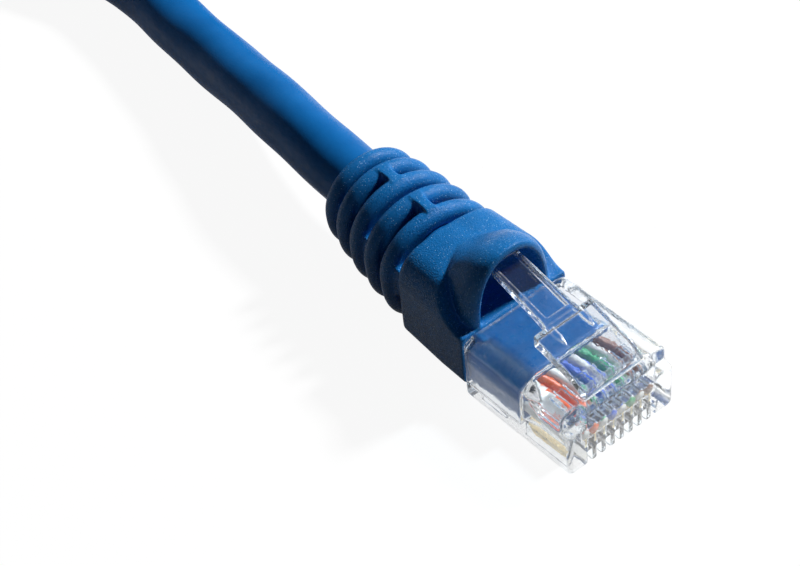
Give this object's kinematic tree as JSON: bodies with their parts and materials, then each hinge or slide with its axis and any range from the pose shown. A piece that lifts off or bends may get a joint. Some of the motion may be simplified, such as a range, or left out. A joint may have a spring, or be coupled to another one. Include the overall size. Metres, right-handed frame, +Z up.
{
  "type": "ethernet patch cable",
  "caption": "Ethernet patch cable with clear modular plugs, sprung latches, blue snagless boots with ribbed strain relief, and a coiled cord.",
  "frame": {"origin": "under the middle of the near plug and its boot, on the surface they lie on", "axes": "+X is the way the near plug goes into its jack, +Z is up, the latch side"},
  "size_m": [0.1528, 0.0838, 0.0137],
  "materials": {
    "clear_plastic": "clear moulded polycarbonate, polished",
    "boot": "soft blue PVC, finely textured",
    "inner_mould": "blue moulded plastic",
    "jacket": "blue extruded PVC jacket, satin",
    "contact": "gold plated",
    "tie": "black strap",
    "wire_white_orange": "wire insulation, white and orange",
    "wire_orange": "wire insulation, orange",
    "wire_white_green": "wire insulation, white and green",
    "wire_blue": "wire insulation, blue",
    "wire_white_blue": "wire insulation, white and blue",
    "wire_green": "wire insulation, green",
    "wire_white_brown": "wire insulation, white and brown",
    "wire_brown": "wire insulation, brown"
  },
  "bodies": {
    "root": {"near_housing": "clear_plastic", "near_inner_mould": "inner_mould", "near_boot": "boot", "near_jacket_end": "jacket", "near_contact_1": "contact", "near_contact_2": "contact", "near_contact_3": "contact", "near_contact_4": "contact", "near_contact_5": "contact", "near_contact_6": "contact", "near_contact_7": "contact", "near_contact_8": "contact", "near_wire_1": "wire_white_orange", "near_wire_2": "wire_orange", "near_wire_3": "wire_white_green", "near_wire_4": "wire_blue", "near_wire_5": "wire_white_blue", "near_wire_6": "wire_green", "near_wire_7": "wire_white_brown", "near_wire_8": "wire_brown", "far_housing": "clear_plastic", "far_inner_mould": "inner_mould", "far_boot": "boot", "far_jacket_end": "jacket", "far_contact_1": "contact", "far_contact_2": "contact", "far_contact_3": "contact", "far_contact_4": "contact", "far_contact_5": "contact", "far_contact_6": "contact", "far_contact_7": "contact", "far_contact_8": "contact", "far_wire_1": "wire_white_orange", "far_wire_2": "wire_orange", "far_wire_3": "wire_white_green", "far_wire_4": "wire_blue", "far_wire_5": "wire_white_blue", "far_wire_6": "wire_green", "far_wire_7": "wire_white_brown", "far_wire_8": "wire_brown", "cable": "jacket", "coil": "jacket", "far_lead": "jacket", "coil_tie": "tie"},
    "near_latch": {"near_latch": "clear_plastic"},
    "far_latch": {"far_latch": "clear_plastic"}
  },
  "joints": [
    {"name": "near_latch_hinge", "type": "hinge", "parent": "root", "child": "near_latch", "pos_m": [0.01537, 0, 0.0069], "axis": [0, -1, 0], "range_deg": [0, 14], "stiffness_Nm_per_rad": 0.1},
    {"name": "far_latch_hinge", "type": "hinge", "parent": "root", "child": "far_latch", "pos_m": [-0.01083, 0.07041, 0.0069], "axis": [-0.053, -0.9986, 0], "range_deg": [0, 14], "stiffness_Nm_per_rad": 0.1}
  ]
}
